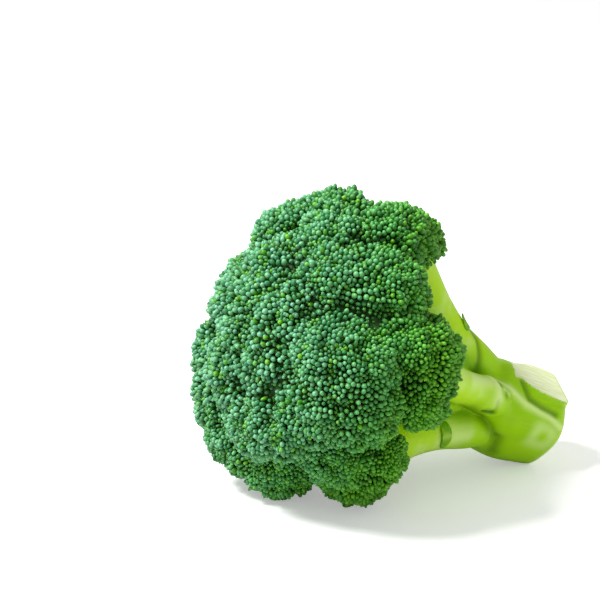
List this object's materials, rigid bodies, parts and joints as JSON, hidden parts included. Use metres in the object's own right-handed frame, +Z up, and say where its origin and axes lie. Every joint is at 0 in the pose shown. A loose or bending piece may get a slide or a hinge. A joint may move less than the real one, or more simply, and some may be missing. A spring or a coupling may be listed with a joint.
{
  "type": "broccoli head",
  "caption": "Head of broccoli as picked, lying on its side: a thick cut stalk that forks into branches, each with a floret of packed green buds.",
  "frame": {"origin": "on the surface that the head lies on, under the middle of its bounding box", "axes": "+Z up, +X towards the cut end of the stalk, -X towards the crown"},
  "size_m": [0.173, 0.1334, 0.1322],
  "materials": {
    "stalk_skin": "smooth, slightly glossy yellow-green skin with pale ridges and a whitish cut end",
    "buds": "tightly packed blue-green flower buds with a waxy bloom, yellow-green in the creases and along the rim",
    "bract": "thin green leaf with a soft satin surface"
  },
  "bodies": {
    "root": {"stalk": "stalk_skin", "branch_apex_front": "stalk_skin", "branch_apex_low": "stalk_skin", "branch_apex_top": "stalk_skin", "branch_bottom": "stalk_skin", "branch_bottom_back": "stalk_skin", "branch_bottom_front": "stalk_skin", "branch_bottom_left": "stalk_skin", "branch_centre_front": "stalk_skin", "branch_left": "stalk_skin", "branch_lower_back": "stalk_skin", "branch_lower_front": "stalk_skin", "branch_middle_back": "stalk_skin", "branch_top": "stalk_skin", "branch_upper_back": "stalk_skin", "branch_upper_front": "stalk_skin", "branch_upper_rim": "stalk_skin", "floret_apex_front": "buds", "floret_apex_low": "buds", "floret_apex_top": "buds", "floret_bottom": "buds", "floret_bottom_back": "buds", "floret_bottom_front": "buds", "floret_bottom_left": "buds", "floret_centre_front": "buds", "floret_left": "buds", "floret_lower_back": "buds", "floret_lower_front": "buds", "floret_middle_back": "buds", "floret_top": "buds", "floret_upper_back": "buds", "floret_upper_front": "buds", "floret_upper_rim": "buds", "bract_back": "bract", "bract_lower": "bract", "bract_upper": "bract"}
  },
  "joints": []
}
